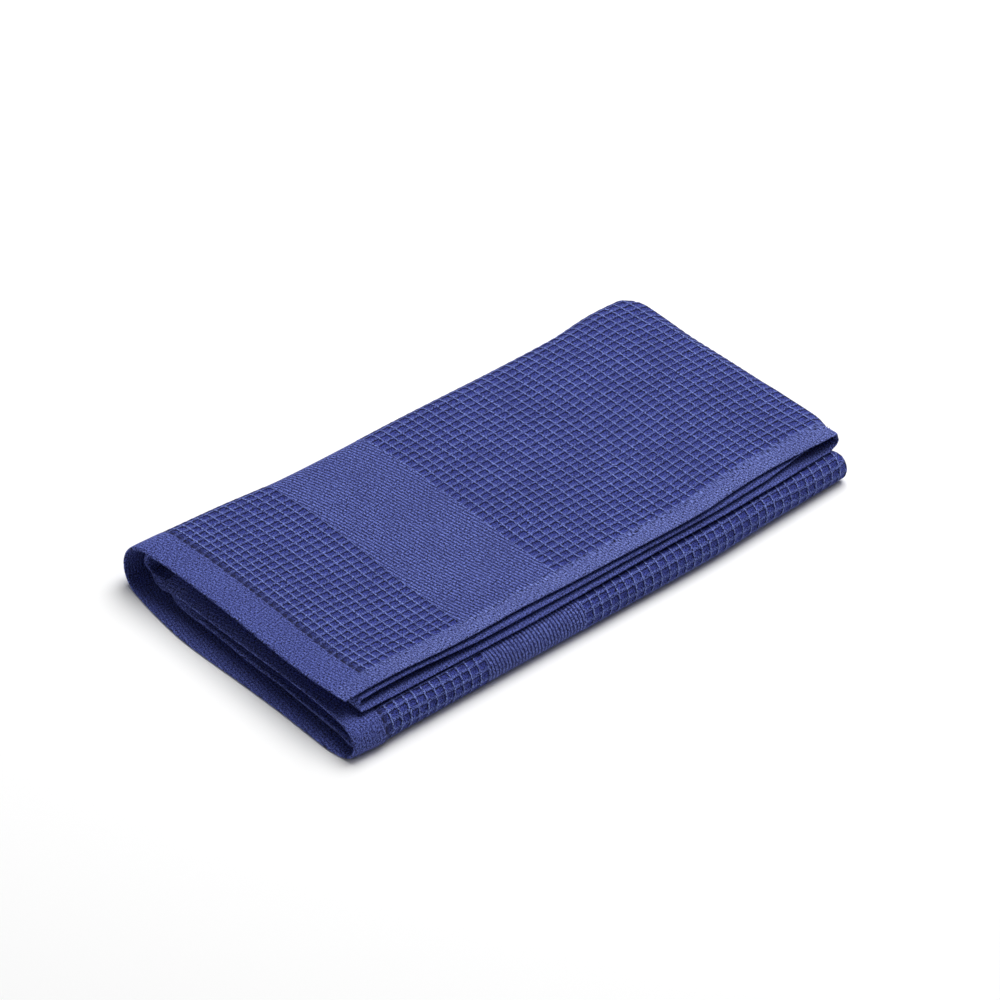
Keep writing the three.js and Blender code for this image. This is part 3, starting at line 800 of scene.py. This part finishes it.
def waffleCotton():
    look = cottonLook
    material, tree = newMaterial("waffleCotton")
    cut = addNode(tree, "ShaderNodeUVMap", {"uv_map": "flatCut"})
    pitAlong = addNode(tree, "ShaderNodeAttribute", {"attribute_name": "pitAlong"})
    pitAcross = addNode(tree, "ShaderNodeAttribute", {"attribute_name": "pitAcross"})
    farAlong = addNode(tree, "ShaderNodeAttribute", {"attribute_name": "farAlong"})
    farAcross = addNode(tree, "ShaderNodeAttribute", {"attribute_name": "farAcross"})
    band = addNode(tree, "ShaderNodeAttribute", {"attribute_name": "band"})
    hem = addNode(tree, "ShaderNodeAttribute", {"attribute_name": "hem"})
    sideHem = addNode(tree, "ShaderNodeAttribute", {"attribute_name": "sideHem"})

    # painted shade on the walls between ridges and pits, paler on the wall that faces the light
    def wallShadeOf(pit, far):
        rest = addNode(tree, "ShaderNodeMath", {"operation": "SUBTRACT"}, {0: 1.0, 1: (pit, "Fac")})
        both = addNode(tree, "ShaderNodeMath", {"operation": "MULTIPLY"}, {
            0: (pit, "Fac"), 1: (rest, "Value")})
        most = look["wallShadeSharpness"]
        depth = spread(tree, (far, "Fac"), (0.0, 1.0), (most * look["litWallShade"], most))
        return addNode(tree, "ShaderNodeMath", {"operation": "MULTIPLY", "use_clamp": True}, {
            0: (both, "Value"), 1: (depth, "Result")})

    # painted shade on the pits' walls, across and along the cloth
    acrossWallShade = addNode(tree, "ShaderNodeMath", {"operation": "MULTIPLY"}, {
        0: (wallShadeOf(pitAcross, farAcross), "Value"), 1: (pitAlong, "Fac")})
    # painted light on the ridges and painted shade in the pits, as a mix of two colours
    pitPart = addNode(tree, "ShaderNodeMath", {"operation": "MULTIPLY_ADD"}, {
        0: (pitAcross, "Fac"), 1: 1 - look["pitShadeBetween"], 2: look["pitShadeBetween"]})
    pitShadeTone = addNode(tree, "ShaderNodeMath", {"operation": "MULTIPLY"}, {
        0: (pitPart, "Value"), 1: (pitAlong, "Fac")})
    wallShadePart = addNode(tree, "ShaderNodeMath", {"operation": "MULTIPLY_ADD"}, {
        0: (pitAcross, "Fac"), 1: 1 - look["wallShadeBetween"], 2: look["wallShadeBetween"]})
    alongWallShade = addNode(tree, "ShaderNodeMath", {"operation": "MULTIPLY"}, {
        0: (wallShadeOf(pitAlong, farAlong), "Value"), 1: (wallShadePart, "Value")})
    wall = addNode(tree, "ShaderNodeMath", {"operation": "MAXIMUM"}, {
        0: (alongWallShade, "Value"), 1: (acrossWallShade, "Value")})
    flatShare = addNode(tree, "ShaderNodeMath", {"operation": "MAXIMUM"}, {
        0: (band, "Fac"), 1: (hem, "Fac")})
    ridgeLightPitShade = addNode(tree, "ShaderNodeMix", {"data_type": "RGBA"}, {
        0: (pitShadeTone, "Value"), 6: linearColour(look["ridge"]), 7: linearColour(look["pit"])})
    # the painted wall shade laid over the ridge and pit colours
    wallShaded = addNode(tree, "ShaderNodeMix", {"data_type": "RGBA"}, {
        0: (wall, "Value"), 6: (ridgeLightPitShade, 2), 7: linearColour(look["wall"])})
    dyed = addNode(tree, "ShaderNodeMix", {"data_type": "RGBA"}, {
        0: (flatShare, "Value"), 6: (wallShaded, 2), 7: linearColour(look["flat"])})
    # the paler selvedge on the outer third: partly its own weave, partly painted light; the lower thirds
    # keep the darker colour as painted shade
    edged = addNode(tree, "ShaderNodeMix", {"data_type": "RGBA"}, {
        0: (sideHem, "Fac"), 6: (dyed, 2), 7: linearColour(look["selvedge"])})

    # uneven yarns
    turned = addNode(tree, "ShaderNodeMapping", None, {
        "Vector": (cut, "UV"), "Rotation": (0, 0, -math.radians(look["twillAngle"]))})
    stretched = addNode(tree, "ShaderNodeMapping", None, {
        "Vector": (turned, "Vector"), "Scale": (1, look["yarnStretch"], 1)})
    yarns = addNode(tree, "ShaderNodeTexNoise", {"noise_dimensions": "2D"}, {
        "Vector": (stretched, "Vector"), "Scale": 1 / (look["yarnSize"] * mm), "Detail": 1.5,
        "Roughness": 0.7})
    yarnTone = spread(tree, (yarns, "Fac"), look["yarnGrey"], look["yarnTones"])

    # slanting lines of the band, fainter on the hems
    twill = addNode(tree, "ShaderNodeTexWave", {"bands_direction": "X"}, {
        "Vector": (turned, "Vector"), "Scale": bandScale(look["twillPeriod"]),
        "Distortion": look["twillUneven"], "Detail": 2.0, "Detail Scale": 2.0})
    twillShare = addNode(tree, "ShaderNodeMath", {"operation": "MULTIPLY_ADD", "use_clamp": True}, {
        0: (hem, "Fac"), 1: look["hemTwill"], 2: (band, "Fac")})
    twillTone = spread(tree, (twill, "Fac"), (0.0, look["twillPeak"]), look["twillTones"])
    twillPart = addNode(tree, "ShaderNodeMix", {"data_type": "FLOAT"}, {
        0: (twillShare, "Value"), 2: 1.0, 3: (twillTone, "Result")})
    twillHeight = addNode(tree, "ShaderNodeMath", {"operation": "MULTIPLY"}, {
        0: (twill, "Fac"), 1: (twillShare, "Value")})

    # dye that took a little unevenly
    patches = addNode(tree, "ShaderNodeTexNoise", {"noise_dimensions": "2D"}, {
        "Vector": (cut, "UV"), "Scale": 1 / (look["patchSize"] * mm), "Detail": 2.0})
    patchTone = spread(tree, (patches, "Fac"), look["patchGrey"], look["patchTones"])

    # all tones together, by channel
    toned = addNode(tree, "ShaderNodeMath", {"operation": "MULTIPLY"}, {
        0: (yarnTone, "Result"), 1: (patchTone, "Result")})
    tonedAll = addNode(tree, "ShaderNodeMath", {"operation": "MULTIPLY"}, {
        0: (toned, "Value"), 1: (twillPart, 0)})
    redTone = addNode(tree, "ShaderNodeMath", {"operation": "POWER"}, {
        0: (tonedAll, "Value"), 1: look["yarnRed"]})
    blueTone = addNode(tree, "ShaderNodeMath", {"operation": "POWER"}, {
        0: (tonedAll, "Value"), 1: look["yarnBlue"]})
    tint = addNode(tree, "ShaderNodeCombineXYZ", None, {
        "X": (redTone, "Value"), "Y": (redTone, "Value"), "Z": (blueTone, "Value")})
    colour = addNode(tree, "ShaderNodeVectorMath", {"operation": "MULTIPLY"}, {
        0: (edged, 2), 1: (tint, "Vector")})

    twillBump = addNode(tree, "ShaderNodeBump", None, {
        "Height": (twillHeight, "Value"), "Strength": 1.0, "Distance": look["twillDepth"] * mm})
    yarnBump = addNode(tree, "ShaderNodeBump", None, {
        "Height": (yarns, "Fac"), "Strength": 1.0, "Distance": look["yarnDepth"] * mm,
        "Normal": (twillBump, "Normal")})
    shader = addNode(tree, "ShaderNodeBsdfPrincipled", None, {
        "Base Color": (colour, "Vector"), "Roughness": look["roughness"],
        "Specular IOR Level": look["shine"], "Sheen Weight": look["sheen"],
        "Sheen Roughness": look["sheenSpread"], "Sheen Tint": linearColour(look["sheenTint"]),
        "Normal": (yarnBump, "Normal")})
    addNode(tree, "ShaderNodeOutputMaterial", None, {"Surface": (shader, "BSDF")})
    return material


# Spun sewing thread, dyed to the cloth: the stitches show only by their shape and thin shadows
threadLook = {
    "colour": "#3a438a",
    "roughness": 0.8,
    "shine": 0.4,
    "sheen": 0.1,
    "plySize": 0.6,
    "plyDepth": 0.08,
    "plyStrength": 0.6,
}


def sewingThread():
    look = threadLook
    material, tree = newMaterial("sewingThread")
    place = addNode(tree, "ShaderNodeTexCoord")
    ply = addNode(tree, "ShaderNodeTexNoise", None, {
        "Vector": (place, "Object"), "Scale": 1 / (look["plySize"] * mm), "Detail": 2.0})
    bump = addNode(tree, "ShaderNodeBump", None, {
        "Height": (ply, "Fac"), "Strength": look["plyStrength"], "Distance": look["plyDepth"] * mm})
    shader = addNode(tree, "ShaderNodeBsdfPrincipled", None, {
        "Base Color": linearColour(look["colour"]), "Roughness": look["roughness"],
        "Specular IOR Level": look["shine"], "Sheen Weight": look["sheen"],
        "Normal": (bump, "Normal")})
    addNode(tree, "ShaderNodeOutputMaterial", None, {"Surface": (shader, "BSDF")})
    return material


# Plain white paper sweep. A big soft light high behind the towel, a weaker one high on the right, a
# faint low one from the left and a dim room, so the left end and the hollows stay dark
studio = {
    "floorColour": "#fafafa",
    "floorRoughness": 0.9,
    "floorShine": 0.1,
    "floorSize": 30.0,
    "worldStrength": 0.1,
    "keyPlace": (1.4, 0.7, 3.1),
    "keySize": 3.2,
    "keyEnergy": 140.0,
    "fillPlace": (1.8, -0.9, 3.3),
    "fillSize": 3.0,
    "fillEnergy": 35.0,
    "sidePlace": (-2.6, 1.0, 0.7),
    "sideSize": 1.2,
    "sideEnergy": 9.0,
}


def addLight(name):
    place = studio[name + "Place"]
    bpy.ops.object.light_add(type="AREA", location=place)
    light = bpy.context.object
    light.name = name + "Light"
    light.data.shape = "DISK"
    light.data.size = studio[name + "Size"]
    light.data.energy = studio[name + "Energy"]
    light.rotation_euler = (-Vector(place)).to_track_quat("-Z", "Y").to_euler()


def addStudio():
    bpy.ops.object.select_all(action="DESELECT")
    bpy.ops.mesh.primitive_plane_add(size=studio["floorSize"], location=(0, 0, 0))
    floor = bpy.context.object
    floor.name = "floor"
    material, tree = newMaterial("whitePaper")
    shader = addNode(tree, "ShaderNodeBsdfPrincipled", None, {
        "Base Color": linearColour(studio["floorColour"]), "Roughness": studio["floorRoughness"],
        "Specular IOR Level": studio["floorShine"]})
    addNode(tree, "ShaderNodeOutputMaterial", None, {"Surface": (shader, "BSDF")})
    floor.data.materials.append(material)

    world = bpy.data.worlds.new("room")
    world.use_nodes = True
    world.node_tree.nodes["Background"].inputs["Color"].default_value = (1, 1, 1, 1)
    world.node_tree.nodes["Background"].inputs["Strength"].default_value = studio["worldStrength"]
    bpy.context.scene.world = world

    addLight("key")
    addLight("fill")
    addLight("side")
    bpy.context.scene.view_settings.view_transform = "Standard"


towel = buildCloth()
towel.data.materials.append(waffleCotton())
stitches = buildStitches()
stitches.data.materials.append(sewingThread())
addStudio()
print("materials and light ready")

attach(towel, "root")
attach(stitches, "root")
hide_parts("towel")
